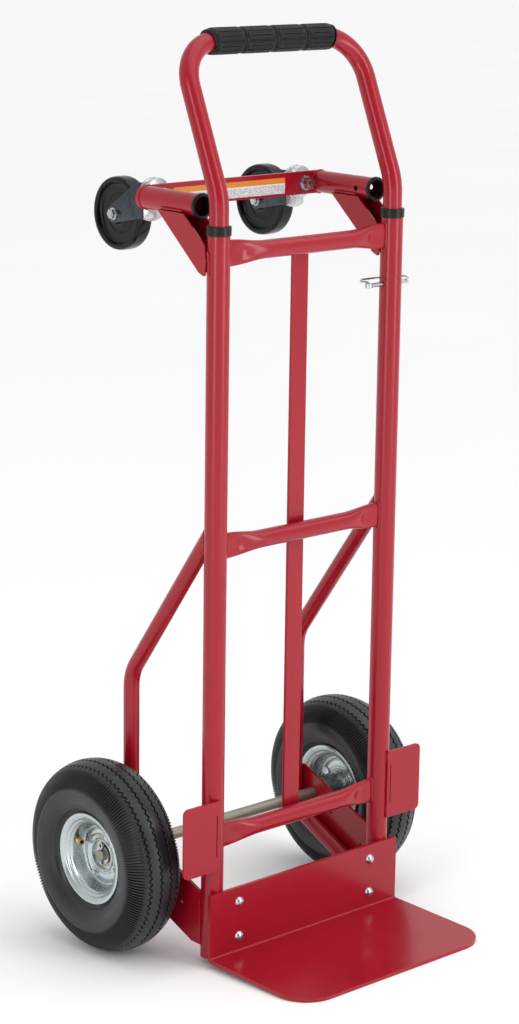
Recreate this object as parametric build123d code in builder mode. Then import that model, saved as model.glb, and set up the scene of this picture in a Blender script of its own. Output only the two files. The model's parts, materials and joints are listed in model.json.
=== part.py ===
from build123d import *

import os
from math import asin, atan2, cos, degrees, hypot, radians, sin

# Convertible hand truck, millimetres.
# It is drawn in its own frame: Z runs up along the uprights, the load faces -Y, X runs across,
# Y = 0 passes through the upright axes and Z = 0 is the lowest point of the tyres.
# Left is -X and right is +X.  On export every piece is leaned forward by LEAN, so that the
# truck stands on its two tyres and the front edge of its toe plate.

# ---------------------------------------------------------------- driving dimensions
GAP = 0.3                        # clearance between bodies that move past each other
FIT = 0.05                       # radial play of a fixed shaft or bolt in its hole
CUT = 200.0                      # length of a cut that runs right through

# frame
UPRIGHT_X = 152.4                # half the spacing of the upright axes
UPRIGHT_R = 15.0
UPRIGHT_BORE_R = 13.7
UPRIGHT_Z = (14.0, 992.0)
CROSSBAR_Z = {"bottom": 181.2, "middle": 578.7, "top": 960.5}
CROSSBAR_R = 12.0
CROSSBAR_WALL = 1.6
FLAT_END = (8.0, 34.0)           # thickness and height of a crossbar's pressed end
FLAT_LENGTH = 20.0
FLARE_LENGTH = 45.0
STRAP_SIZE = (27.6, 5.0)
STRAP_Z = (172.0, 969.0)
BRACE_R = 11.0
BRACE_WALL = 1.6
BRACE_TOP = (0.0, 608.0)         # y, z where the brace axis meets the upright axis
BRACE_KNEE = (171.5, 368.5)
BRACE_HEEL = (171.0, 109.0)
BRACE_FOOT = (0.0, 30.3)
BRACE_BENDS = (60.0, 50.0)
BRACKET_T = 4.0
BRACKET_OUTLINE = ((6, 31), (24, 31), (168, 88), (178, 104), (178, 156), (170, 170), (6, 106))
BRACKET_CORNER_R = 7.0
BRACKET_HOLES = ((44.4, 81.5), (105.0, 113.0))
BRACKET_HOLE_R = 3.2

# wheels and axle
TYRE_R = 132.0
TYRE_HALF = 41.0
WHEEL_X = 221.0
AXLE_Y = 143.2
AXLE_Z = 132.0
AXLE_R = 7.94
AXLE_HALF = 231.0
COTTER_X = 227.6
COTTER_R = 1.6
COTTER_HOLE_R = 1.8
COTTER_Z = (-13.0, 11.0)         # below and above the axle
COTTER_EYE = (4.6, 2.4, 14.0)    # outer radius, inner radius and height above the axle
WASHER_R = 13.0
HUB_X = (171.2, 223.0)
HUB_R = 20.0
HUB_BORE_R = 11.0
BEARING_R = 17.5
BEARING_W = 11.0
BEARING_GROOVE = (10.8, 15.0, 0.8)   # inner radius, outer radius and depth
RIM_FLANGE_R = 63.5
RIM_SEAT_R = 50.8
RIM_FLOOR_R = 41.0
RIM_HALF = 29.3
RIM_T = 1.8
RIM_BOLT_R = 31.0
RIM_BOLT_START = 25.0            # angle of the first bolt
RIM_SHANK_R = 3.0
RIM_HEAD = (6.2, 5.0)            # corner radius and thickness of the heads and nuts
RIM_SHANK_PROUD = 7.5
VALVE_HOLE_R = 4.6
VALVE_ANGLE = 8.0
VALVE_ROOT_R = 57.0
VALVE_AIM = (0.357, -0.911, 0.205)   # outboard, rearward and upward
VALVE_LENGTH = 36.0
VALVE_FOOT = (4.3, 20.0)         # radius and length of the rubber foot
VALVE_NECK_R = 2.6
VALVE_CAP = (3.9, 28.0)          # radius of the cap and where it starts

# toe plate
TOE_T = 5.0
TOE_HALF = 172.3
TOE_BACK_Y = -15.3               # rear face of the plate that stands against the uprights
TOE_TIP_Y = -206.0
TOE_TOP_Z = 109.5
TOE_UNDER_Z = 14.0
TOE_CORNER_R = 47.0
TOE_BOLT_X = 121.0
TOE_BOLT_Z = (39.4, 88.5)
TOE_HOLE_R = 4.3
TOE_BOLT_R = 4.0
TOE_BOLT_HEAD = (7.2, 4.6)       # radius and height of the dome
TOE_WASHER = (8.5, 1.6)
TOE_NUT = (7.5, 6.4)
TAB_T = 4.0
TAB_X = 121.5
TAB_SIZE = (46.0, 84.0)
TAB_CORNER_R = 5.0

# wheel guards
GUARD_X = (154.0, 217.0)
GUARD_Z = (141.0, 238.5)
GUARD_T = 3.0
GUARD_CORNER_R = 8.0
GUARD_SLOT = (58.0, 1.6)
GUARD_SLOT_INSET = 6.0

# sockets, caster bar and casters
SOCKET_Z = 1018.0
SOCKET_Y = (34.5, 142.5)
SOCKET_PIN_Y = 56.0
BUSH_LIP = (16.6, 4.0)           # radius and thickness
BUSH_LENGTH = 18.0
GUSSET_T = 2.3
GUSSET_CHEEK = ((101, 1008), (50, 1008), (8, 973), (4.5, 952), (7, 932), (19, 937))
GUSSET_POCKET = ((110, 1018.3), (50, 1040), (-30, 973), (-30, 900), (13.1, 933))
LABEL_SIZE = (196.0, 21.5)
LABEL_T = 0.4
LABEL_CENTRE = (-10.0, -1.5)     # x, and z from the caster bar's middle line
BAR_T = 5.0
BAR_H = 31.0
KINGPIN_X = 126.0
CASTER_Y = 225.5
CASTER_TRAIL = 31.0
CASTER_R = 49.0
CASTER_HALF = 12.3
RACE_R = 22.5
RACE_T = 12.5                    # height of the fixed race above the caster bar
RACE_NECK = (15.0, 3.5)          # radius and height of the race's foot
CROWN_T = 7.0
FORK_T = 2.5
FORK_GAP = 13.2                  # half the clear width between the fork legs
FORK_FACE = 2.0                  # depth of the fork's base plate behind the front of the crown
FORK_TOE = 35.5                  # reach of the base plate below the kingpin
FORK_TOP = 16.0                  # reach of the base plate above the kingpin
FORK_EYE_R = 12.5
KINGPIN_R = 5.0
KINGPIN_WASHER = (10.5, 1.8)
KINGPIN_NUT = (9.2, 8.0)
KINGPIN_RIVET = (9.0, 4.0)
CASTER_BOLT_R = 4.0
CASTER_SLEEVE_R = 6.0
CASTER_BOLT_WASHER = (8.0, 1.2)
CASTER_BOLT_NUT = (6.6, 4.6)

# handle and its lock pin
HANDLE_R = 12.7
HANDLE_BORE_R = 11.2
HANDLE_BOTTOM_Z = 858.0
HANDLE_KINK_Z = 1032.0
HANDLE_TOP = (79.5, 1219.0)      # y, z of the axis of the grip span
HANDLE_KINK_R = 80.0
HANDLE_CORNER_R = 58.0
GRIP_HALF = 106.0
GRIP_R = 17.5
COLLAR_R = 16.3
COLLAR_Z = (984.4, 996.4)
COLLAR_SLEEVE = 30.0
PIN_Z = 895.6
PIN_R = 3.0
PIN_HOLE_R = 3.6
PIN_X = (112.0, 184.0)
BAIL_WIRE_R = 1.4

# ---------------------------------------------------------------- derived places
BAR_Y = (SOCKET_Y[1], SOCKET_Y[1] + BAR_T)
CASTER_Z = SOCKET_Z - CASTER_TRAIL
HANDLE_LEAN = degrees(atan2(HANDLE_TOP[0], HANDLE_TOP[1] - HANDLE_KINK_Z))
SIDES = {"left": -1, "right": 1}

# The floor touches the tyres and the lower front edge of the toe plate.
reach = AXLE_Y - TOE_TIP_Y
rise = AXLE_Z - TOE_UNDER_Z
LEAN = degrees(asin(TYRE_R / hypot(reach, rise)) - atan2(rise, reach))
AXLE_DROP = AXLE_Y * sin(radians(LEAN)) + AXLE_Z * cos(radians(LEAN)) - TYRE_R
REAR_Y = AXLE_Y * cos(radians(LEAN)) - AXLE_Z * sin(radians(LEAN)) + TYRE_R
TOE_LIP_Z = TOE_UNDER_Z + TOE_T
FRONT_Y = TOE_TIP_Y * cos(radians(LEAN)) - TOE_LIP_Z * sin(radians(LEAN))
STAND = Pos(0, -(REAR_Y + FRONT_Y) / 2, -AXLE_DROP) * Rot(LEAN, 0, 0)

os.makedirs("parts", exist_ok=True)


def save(piece, label):
    """Stand the finished piece on the floor and write it as its own node."""
    piece.part.label = label
    standing = STAND * piece.part
    standing.label = label
    export_step(standing, f"parts/{label}.step")


def across(x, y=0.0, z=0.0):
    """Plane square to X through the given point, with its local axes along Y and Z."""
    return Plane(origin=(x, y, z), x_dir=(0, 1, 0), z_dir=(1, 0, 0))


def along_y(x, y, z):
    """Plane square to Y through the given point, looking along +Y."""
    return Plane(origin=(x, y, z), x_dir=(1, 0, 0), z_dir=(0, 1, 0))


# ---------------------------------------------------------------- frame
def make_upright(side):
    with BuildPart() as upright:
        with BuildSketch(Plane.XY.offset(UPRIGHT_Z[0])):
            with Locations((side * UPRIGHT_X, 0)):
                Circle(UPRIGHT_R)
                Circle(UPRIGHT_BORE_R, mode=Mode.SUBTRACT)
        extrude(amount=UPRIGHT_Z[1] - UPRIGHT_Z[0])
        if side > 0:
            with BuildSketch(across(UPRIGHT_X, 0, PIN_Z)):
                Circle(PIN_HOLE_R)
            extrude(amount=UPRIGHT_R + 1, both=True, mode=Mode.SUBTRACT)
    return upright


def make_crossbar(z):
    """A tube whose ends are pressed flat and coped against the uprights."""
    end_x = UPRIGHT_X - UPRIGHT_R + 1.5
    flat_x = end_x - FLAT_LENGTH
    round_x = flat_x - FLARE_LENGTH
    with BuildPart() as bar:
        for wall, mode in ((0.0, Mode.ADD), (CROSSBAR_WALL, Mode.SUBTRACT)):
            flat = (FLAT_END[0] - 2 * wall, FLAT_END[1] - 2 * wall)
            tube = 2 * (CROSSBAR_R - wall)
            for side in SIDES.values():
                with BuildSketch(across(side * end_x, 0, z)):
                    RectangleRounded(*flat, flat[0] / 2 - 0.02)
                extrude(amount=-side * FLAT_LENGTH, mode=mode)
                with BuildSketch(across(side * flat_x, 0, z)):
                    RectangleRounded(*flat, flat[0] / 2 - 0.02)
                with BuildSketch(across(side * round_x, 0, z)):
                    RectangleRounded(tube, tube, tube / 2 - 0.02)
                loft(mode=mode)
            with BuildSketch(across(0, 0, z)):
                RectangleRounded(tube, tube, tube / 2 - 0.02)
            extrude(amount=round_x, both=True, mode=mode)
        with BuildSketch(Plane.XY.offset(z - FLAT_END[1])):
            with Locations((-UPRIGHT_X, 0), (UPRIGHT_X, 0)):
                Circle(UPRIGHT_R)
        extrude(amount=2 * FLAT_END[1], mode=Mode.SUBTRACT)
    return bar


with BuildPart() as centre_strap:
    with BuildSketch(Plane.XY.offset(STRAP_Z[0])):
        with Locations((0, CROSSBAR_R + STRAP_SIZE[1] / 2)):
            RectangleRounded(*STRAP_SIZE, 1.2)
    extrude(amount=STRAP_Z[1] - STRAP_Z[0])


def make_brace(side):
    """A bent tube from the middle crossbar's height, back over the axle, to the foot."""
    route = [(side * UPRIGHT_X, *point) for point in (BRACE_TOP, BRACE_KNEE, BRACE_HEEL, BRACE_FOOT)]
    with BuildPart() as brace:
        with BuildLine() as path:
            FilletPolyline(*route, radius=BRACE_BENDS)
        with BuildSketch(Plane(origin=path.line @ 0, z_dir=path.line % 0)):
            Circle(BRACE_R)
            Circle(BRACE_R - BRACE_WALL, mode=Mode.SUBTRACT)
        sweep(path=path.line)
        split(bisect_by=along_y(0, UPRIGHT_R, 0), keep=Keep.TOP)
    return brace


def make_axle_bracket(side):
    """Side plate outside the brace, from the foot of the upright to behind the axle."""
    inner_x = UPRIGHT_X + BRACE_R
    with BuildPart() as bracket:
        with BuildSketch(across(side * inner_x)) as profile:
            with BuildLine():
                Polyline(*BRACKET_OUTLINE, close=True)
            make_face()
            rear_corners = profile.vertices().filter_by_position(Axis.X, 160, 180)
            fillet(rear_corners, BRACKET_CORNER_R)
        extrude(amount=side * BRACKET_T)
        with BuildSketch(across(side * inner_x, AXLE_Y, AXLE_Z)):
            Circle(AXLE_R + FIT)
            with Locations(*[(y - AXLE_Y, z - AXLE_Z) for y, z in BRACKET_HOLES]):
                Circle(BRACKET_HOLE_R)
        extrude(amount=side * BRACKET_T, mode=Mode.SUBTRACT)
        with BuildSketch(Plane.XY):
            with Locations((side * UPRIGHT_X, 0)):
                Circle(UPRIGHT_R)
        extrude(amount=CUT, mode=Mode.SUBTRACT)
    return bracket


def make_wheel_guard(side):
    """Flat plate in front of each tyre, welded to the front of the upright."""
    width = GUARD_X[1] - GUARD_X[0]
    height = GUARD_Z[1] - GUARD_Z[0]
    centre = (side * sum(GUARD_X) / 2, -UPRIGHT_R, sum(GUARD_Z) / 2)
    slot_x = side * (GUARD_SLOT_INSET - width / 2)
    with BuildPart() as guard:
        with BuildSketch(along_y(*centre)) as outline:
            Rectangle(width, height)
            outer = outline.vertices().group_by(Axis.X)[-1 if side > 0 else 0]
            fillet(outer, GUARD_CORNER_R)
            with Locations((slot_x, 0)):
                SlotOverall(*GUARD_SLOT, rotation=90, mode=Mode.SUBTRACT)
        extrude(amount=-GUARD_T)
    return guard


# ---------------------------------------------------------------- toe plate
with BuildPart() as toe_plate:
    with BuildSketch(across(-TOE_HALF)):
        with BuildLine():
            Polyline(
                (TOE_BACK_Y, TOE_TOP_Z),
                (TOE_BACK_Y, TOE_UNDER_Z),
                (TOE_TIP_Y, TOE_UNDER_Z),
                (TOE_TIP_Y, TOE_LIP_Z),
                (TOE_BACK_Y - TOE_T, TOE_LIP_Z),
                (TOE_BACK_Y - TOE_T, TOE_TOP_Z),
                close=True,
            )
        make_face()
    extrude(amount=2 * TOE_HALF)
    fillet(toe_plate.edges().filter_by(Axis.Z).group_by(Axis.Y)[0], TOE_CORNER_R)
    fillet(toe_plate.edges().filter_by(Axis.Y).group_by(Axis.Z)[-1], 1.5)
    bend_edges = toe_plate.edges().filter_by(Axis.X)
    fillet(bend_edges.filter_by_position(Axis.Z, TOE_LIP_Z - 1, TOE_LIP_Z + 1).sort_by(Axis.Y)[-1:], 2)
    fillet(bend_edges.group_by(Axis.Z)[0].sort_by(Axis.Y)[-1:], 6)
    with BuildSketch(along_y(0, TOE_BACK_Y, sum(TOE_BOLT_Z) / 2)):
        with GridLocations(2 * TOE_BOLT_X, TOE_BOLT_Z[1] - TOE_BOLT_Z[0], 2, 2):
            Circle(TOE_HOLE_R)
    extrude(amount=-TOE_T, mode=Mode.SUBTRACT)

with BuildPart() as toe_tabs:
    for side in SIDES.values():
        with BuildSketch(along_y(side * TAB_X, TOE_BACK_Y, sum(TOE_BOLT_Z) / 2)):
            RectangleRounded(*TAB_SIZE, TAB_CORNER_R)
            with Locations(*[(side * (TOE_BOLT_X - TAB_X), z - sum(TOE_BOLT_Z) / 2) for z in TOE_BOLT_Z]):
                Circle(TOE_HOLE_R, mode=Mode.SUBTRACT)
        extrude(amount=TAB_T)
    with BuildSketch(Plane.XY):
        with Locations((-UPRIGHT_X, 0), (UPRIGHT_X, 0)):
            Circle(UPRIGHT_R)
    extrude(amount=CUT, mode=Mode.SUBTRACT)

toe_front_y = TOE_BACK_Y - TOE_T
tab_rear_y = TOE_BACK_Y + TAB_T
bolt_places = [(side * TOE_BOLT_X, z) for side in SIDES.values() for z in TOE_BOLT_Z]

with BuildPart() as toe_bolts:
    for x, z in bolt_places:
        with BuildSketch(Plane(origin=(x, 0, z), x_dir=(0, 0, 1), z_dir=(1, 0, 0))) as dome:
            head_r, head_t = TOE_BOLT_HEAD
            top = head_t - toe_front_y
            with BuildLine():
                Line((0, -toe_front_y), (0, top))
                ThreePointArc((0, top), (0.68 * head_r, 0.7 * head_t - toe_front_y), (head_r, -toe_front_y))
                Line((head_r, -toe_front_y), (0, -toe_front_y))
            make_face()
        revolve(axis=Axis((x, 0, z), (0, 1, 0)))
        with BuildSketch(along_y(x, toe_front_y, z)):
            Circle(TOE_BOLT_R)
        extrude(amount=TOE_T + TAB_T + TOE_WASHER[1] + TOE_NUT[1] + 2)

with BuildPart() as toe_nuts:
    for x, z in bolt_places:
        with BuildSketch(along_y(x, tab_rear_y, z)):
            Circle(TOE_WASHER[0])
            Circle(TOE_BOLT_R + FIT, mode=Mode.SUBTRACT)
        extrude(amount=TOE_WASHER[1])
        with BuildSketch(along_y(x, tab_rear_y + TOE_WASHER[1], z)):
            RegularPolygon(TOE_NUT[0], 6)
            Circle(TOE_BOLT_R + FIT, mode=Mode.SUBTRACT)
        extrude(amount=TOE_NUT[1])

# ---------------------------------------------------------------- axle
with BuildPart() as axle:
    with BuildSketch(across(0, AXLE_Y, AXLE_Z)):
        Circle(AXLE_R)
    extrude(amount=AXLE_HALF, both=True)
    chamfer(axle.edges().group_by(Axis.X)[0] + axle.edges().group_by(Axis.X)[-1], 1)
    for side in SIDES.values():
        with BuildSketch(Plane.XY.offset(AXLE_Z - 10)):
            with Locations((side * COTTER_X, AXLE_Y)):
                Circle(COTTER_HOLE_R)
        extrude(amount=20, mode=Mode.SUBTRACT)

washer_x = (
    (UPRIGHT_X + BRACE_R + BRACKET_T, HUB_X[0] - GAP),
    (HUB_X[1] + GAP, COTTER_X - COTTER_HOLE_R - 0.1),
)
with BuildPart() as axle_washers:
    for side in SIDES.values():
        for near_x, far_x in washer_x:
            with BuildSketch(across(side * near_x, AXLE_Y, AXLE_Z)):
                Circle(WASHER_R)
                Circle(AXLE_R + FIT, mode=Mode.SUBTRACT)
            extrude(amount=side * (far_x - near_x))

with BuildPart() as cotter_pins:
    for side in SIDES.values():
        with BuildSketch(Plane.XY.offset(AXLE_Z + COTTER_Z[0])):
            with Locations((side * COTTER_X, AXLE_Y)):
                Circle(COTTER_R)
        extrude(amount=COTTER_Z[1] - COTTER_Z[0])
        with BuildSketch(across(side * COTTER_X, AXLE_Y, AXLE_Z + COTTER_EYE[2])):
            Circle(COTTER_EYE[0])
            Circle(COTTER_EYE[1], mode=Mode.SUBTRACT)
        extrude(amount=1.3, both=True)


# ---------------------------------------------------------------- pneumatic wheels
def valve_plane(side):
    """Plane at the root of the valve stem, on the inner tube, facing inwards and outboard."""
    angle = radians(VALVE_ANGLE)
    spoke = Vector(0, cos(angle), sin(angle))
    root = Vector(side * (WHEEL_X + 8), AXLE_Y, AXLE_Z) + spoke * VALVE_ROOT_R
    outboard, rearward, upward = VALVE_AIM
    return Plane(origin=root, z_dir=(side * outboard, rearward, upward))


def turned(side, x, points):
    """Revolve a closed outline about the axle.  Each point is (distance outboard of x, radius)."""
    with BuildPart() as body:
        with BuildSketch(Plane(origin=(x, AXLE_Y, AXLE_Z), x_dir=(side, 0, 0), z_dir=(0, -side, 0))):
            with BuildLine():
                Polyline(*points, close=True)
            make_face()
        revolve(axis=Axis((x, AXLE_Y, AXLE_Z), (1, 0, 0)))
    return body


def make_tyre(side):
    """Hollow carcass: a crowned tread, round shoulders and bulging sidewalls on two beads."""
    half = TYRE_HALF
    with BuildPart() as tyre:
        with BuildSketch(Plane(origin=(side * WHEEL_X, AXLE_Y, AXLE_Z), x_dir=(1, 0, 0), z_dir=(0, -1, 0))):
            with BuildLine():
                ThreePointArc((-30, 122.5), (0, TYRE_R), (30, 122.5))
                ThreePointArc((30, 122.5), (half, 93), (27.2, 65.5))
                Polyline((27.2, 65.5), (25.2, 59.5), (23.6, 52.8), (18, 50.6), (15.5, 61))
                ThreePointArc((15.5, 61), (half - 6.5, 91), (25, 115))
                ThreePointArc((25, 115), (0, 122.5), (-25, 115))
                ThreePointArc((-25, 115), (6.5 - half, 91), (-15.5, 61))
                Polyline((-15.5, 61), (-18, 50.6), (-23.6, 52.8), (-25.2, 59.5), (-27.2, 65.5))
                ThreePointArc((-27.2, 65.5), (-half, 93), (-30, 122.5))
            make_face()
        revolve(axis=Axis((side * WHEEL_X, AXLE_Y, AXLE_Z), (1, 0, 0)))
    return tyre


def make_inner_tube(side):
    """Inflated tube that fills the carcass."""
    with BuildPart() as tube:
        with BuildSketch(Plane(origin=(side * WHEEL_X, AXLE_Y, AXLE_Z), x_dir=(1, 0, 0), z_dir=(0, -1, 0))):
            for shrink, mode in ((0, Mode.ADD), (2, Mode.SUBTRACT)):
                with Locations((0, 90)):
                    Ellipse(30.5 - shrink, 29.5 - shrink, mode=mode)
        revolve(axis=Axis((side * WHEEL_X, AXLE_Y, AXLE_Z), (1, 0, 0)))
    return tube


def rim_bolt_holes(side, radius):
    """Sketch of circles on the rim bolt circle, in the plane of the joined rim floors."""
    with BuildSketch(across(side * (WHEEL_X - RIM_T), AXLE_Y, AXLE_Z)) as holes:
        with PolarLocations(RIM_BOLT_R, 4, start_angle=RIM_BOLT_START):
            Circle(radius)
    return holes


def make_rim_half(side, outward):
    """Pressed half rim: flat floor round the hub, a deep dish, a bead seat and a rolled flange."""
    skin = [
        (RIM_T / 2, HUB_R + 0.3),
        (RIM_T / 2, RIM_FLOOR_R),
        (4.5, RIM_FLOOR_R + 4),
        (21, RIM_SEAT_R - 1.8),
        (25.2, RIM_SEAT_R + 0.7),
        (26.8, RIM_FLANGE_R - 4.5),
        (RIM_HALF - 0.7, RIM_FLANGE_R - 0.3),
    ]
    with BuildPart() as rim:
        section = Plane(
            origin=(side * WHEEL_X, AXLE_Y, AXLE_Z),
            x_dir=(side * outward, 0, 0),
            z_dir=(0, -side * outward, 0),
        )
        with BuildSketch(section):
            with BuildLine():
                Polyline(*skin)
            trace(line_width=RIM_T)
        revolve(axis=Axis((side * WHEEL_X, AXLE_Y, AXLE_Z), (1, 0, 0)))
        extrude(rim_bolt_holes(side, RIM_SHANK_R + 0.1).sketch, amount=side * 2 * RIM_T, mode=Mode.SUBTRACT)
        if outward > 0:
            with BuildSketch(valve_plane(side)):
                Circle(VALVE_HOLE_R)
            extrude(amount=VALVE_LENGTH, mode=Mode.SUBTRACT)
    return rim


def make_rim_bolts(side):
    """Hexagon bolts and nuts that hold the two half rims together."""
    with BuildPart() as bolts:
        with BuildSketch(across(side * (WHEEL_X - RIM_T), AXLE_Y, AXLE_Z)):
            with PolarLocations(RIM_BOLT_R, 4, start_angle=RIM_BOLT_START):
                RegularPolygon(RIM_HEAD[0], 6)
        extrude(amount=-side * RIM_HEAD[1])
        extrude(rim_bolt_holes(side, RIM_SHANK_R).sketch, amount=side * (2 * RIM_T + RIM_SHANK_PROUD))
        with BuildSketch(across(side * (WHEEL_X + RIM_T), AXLE_Y, AXLE_Z)):
            with PolarLocations(RIM_BOLT_R, 4, start_angle=RIM_BOLT_START):
                RegularPolygon(RIM_HEAD[0], 6)
        extrude(amount=side * RIM_HEAD[1])
    return bolts


def make_hub(side):
    """Steel sleeve with a bearing pocket at each end and a bore that clears the axle."""
    length = HUB_X[1] - HUB_X[0]
    outline = [
        (0, BEARING_R),
        (0, HUB_R),
        (length, HUB_R),
        (length, BEARING_R),
        (length - BEARING_W, BEARING_R),
        (length - BEARING_W, HUB_BORE_R),
        (BEARING_W, HUB_BORE_R),
        (BEARING_W, BEARING_R),
    ]
    return turned(side, side * HUB_X[0], outline)


def make_bearings(side):
    """Two ball bearings, drawn as rings with a groove in each face."""
    groove_inner, groove_outer, groove_t = BEARING_GROOVE
    with BuildPart() as bearings:
        for start in (HUB_X[0], HUB_X[1] - BEARING_W):
            with BuildSketch(across(side * start, AXLE_Y, AXLE_Z)):
                Circle(BEARING_R)
                Circle(AXLE_R + 0.06, mode=Mode.SUBTRACT)
            extrude(amount=side * BEARING_W)
            for end in (start, start + BEARING_W - groove_t):
                with BuildSketch(across(side * end, AXLE_Y, AXLE_Z)):
                    Circle(groove_outer)
                    Circle(groove_inner, mode=Mode.SUBTRACT)
                extrude(amount=side * groove_t, mode=Mode.SUBTRACT)
    return bearings


def make_valve_stem(side):
    """Stem of the inner tube: a rubber foot, a brass neck and a cap."""
    plane = valve_plane(side)
    with BuildPart() as stem:
        with BuildSketch(plane):
            Circle(VALVE_FOOT[0])
        extrude(amount=VALVE_FOOT[1], taper=2)
        with BuildSketch(plane.offset(VALVE_FOOT[1])):
            Circle(VALVE_NECK_R)
        extrude(amount=VALVE_CAP[1] + 1 - VALVE_FOOT[1])
        with BuildSketch(plane.offset(VALVE_CAP[1])):
            Circle(VALVE_CAP[0])
        extrude(amount=VALVE_LENGTH - VALVE_CAP[1])
    return stem


# ---------------------------------------------------------------- sockets, gussets and caster bar
def make_socket(side):
    """Horizontal tube behind the top of the upright: it takes a handle leg in the platform position."""
    with BuildPart() as socket:
        with BuildSketch(along_y(side * UPRIGHT_X, SOCKET_Y[0], SOCKET_Z)):
            Circle(UPRIGHT_R)
            Circle(UPRIGHT_BORE_R, mode=Mode.SUBTRACT)
        extrude(amount=SOCKET_Y[1] - SOCKET_Y[0])
        if side > 0:
            with BuildSketch(across(UPRIGHT_X, SOCKET_PIN_Y, SOCKET_Z)):
                Circle(PIN_HOLE_R)
            extrude(amount=UPRIGHT_R + 1, both=True, mode=Mode.SUBTRACT)
    return socket


def make_socket_bush(side):
    """Black plastic mouth piece with a lip, pushed into the socket."""
    with BuildPart() as bush:
        with BuildSketch(along_y(side * UPRIGHT_X, SOCKET_Y[0] - BUSH_LIP[1], SOCKET_Z)):
            Circle(BUSH_LIP[0])
            Circle(HANDLE_R + GAP, mode=Mode.SUBTRACT)
        extrude(amount=BUSH_LIP[1])
        fillet(bush.edges().group_by(Axis.Y)[0].sort_by(SortBy.RADIUS)[-1:], 1.2)
        with BuildSketch(along_y(side * UPRIGHT_X, SOCKET_Y[0] - BUSH_LIP[1], SOCKET_Z)):
            Circle(UPRIGHT_BORE_R)
            Circle(HANDLE_R + GAP, mode=Mode.SUBTRACT)
        extrude(amount=BUSH_LENGTH)
    return bush


def make_collar(side):
    """Black plastic collar on the upright, with a sleeve that guides the handle leg."""
    with BuildPart() as collar:
        with BuildSketch(Plane.XY.offset(COLLAR_Z[0])):
            with Locations((side * UPRIGHT_X, 0)):
                Circle(COLLAR_R)
                Circle(UPRIGHT_R, mode=Mode.SUBTRACT)
        extrude(amount=UPRIGHT_Z[1] - COLLAR_Z[0])
        with BuildSketch(Plane.XY.offset(UPRIGHT_Z[1])):
            with Locations((side * UPRIGHT_X, 0)):
                Circle(COLLAR_R)
                Circle(HANDLE_R + GAP, mode=Mode.SUBTRACT)
        extrude(amount=COLLAR_Z[1] - UPRIGHT_Z[1])
        outer_rims = collar.edges().filter_by(GeomType.CIRCLE).filter_by(lambda edge: edge.radius > 16)
        fillet(outer_rims.group_by(Axis.Z)[0] + outer_rims.group_by(Axis.Z)[-1], 0.9)
        with BuildSketch(Plane.XY.offset(UPRIGHT_Z[1] - COLLAR_SLEEVE)):
            with Locations((side * UPRIGHT_X, 0)):
                Circle(UPRIGHT_BORE_R)
                Circle(HANDLE_R + GAP, mode=Mode.SUBTRACT)
        extrude(amount=COLLAR_SLEEVE)
    return collar


def make_gusset(side):
    """U-channel strut that straddles the upright and the socket, open towards the front."""
    with BuildPart() as gusset:
        with BuildSketch(across(side * UPRIGHT_X)) as profile:
            with BuildLine():
                Polyline(*GUSSET_CHEEK, close=True)
            make_face()
            fillet(profile.vertices().filter_by_position(Axis.Y, 900, 980), 2.5)
        extrude(amount=UPRIGHT_R + GUSSET_T, both=True)
        with BuildSketch(across(side * UPRIGHT_X)):
            with BuildLine():
                Polyline(*GUSSET_POCKET, close=True)
            make_face()
        extrude(amount=UPRIGHT_R, both=True, mode=Mode.SUBTRACT)
        with BuildSketch(along_y(side * UPRIGHT_X, 0, SOCKET_Z)):
            Circle(UPRIGHT_R)
        extrude(amount=SOCKET_Y[1], mode=Mode.SUBTRACT)
    return gusset


with BuildPart() as caster_bar:
    with BuildSketch(along_y(0, BAR_Y[0], SOCKET_Z)):
        SlotCenterToCenter(2 * UPRIGHT_X, BAR_H)
        with Locations((-KINGPIN_X, 0), (KINGPIN_X, 0)):
            Circle(KINGPIN_R + 0.1, mode=Mode.SUBTRACT)
    extrude(amount=BAR_T)

with BuildPart() as label_plate:
    with BuildSketch(along_y(LABEL_CENTRE[0], BAR_Y[0], SOCKET_Z + LABEL_CENTRE[1])):
        RectangleRounded(*LABEL_SIZE, 1)
    extrude(amount=-LABEL_T)

# ---------------------------------------------------------------- casters
RACE_Y = (BAR_Y[1], BAR_Y[1] + RACE_T)
CROWN_Y = (RACE_Y[1] + 0.8, RACE_Y[1] + 0.8 + CROWN_T)

washer_front_y = BAR_Y[0] - KINGPIN_WASHER[1]
nut_front_y = washer_front_y - KINGPIN_NUT[1]
rivet_front_y = CROWN_Y[1] + 0.6
with BuildPart() as kingpins:
    for x in (-KINGPIN_X, KINGPIN_X):
        with BuildSketch(along_y(x, nut_front_y - 1.2, SOCKET_Z)):
            Circle(KINGPIN_R)
        extrude(amount=rivet_front_y + 0.4 - nut_front_y + 1.2)
        with BuildSketch(along_y(x, washer_front_y, SOCKET_Z)):
            Circle(KINGPIN_WASHER[0])
        extrude(amount=KINGPIN_WASHER[1])
        with BuildSketch(along_y(x, nut_front_y, SOCKET_Z)):
            RegularPolygon(KINGPIN_NUT[0], 6)
        extrude(amount=KINGPIN_NUT[1])
        with BuildSketch(along_y(x, rivet_front_y, SOCKET_Z)):
            Circle(KINGPIN_RIVET[0])
        extrude(amount=KINGPIN_RIVET[1])


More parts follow.
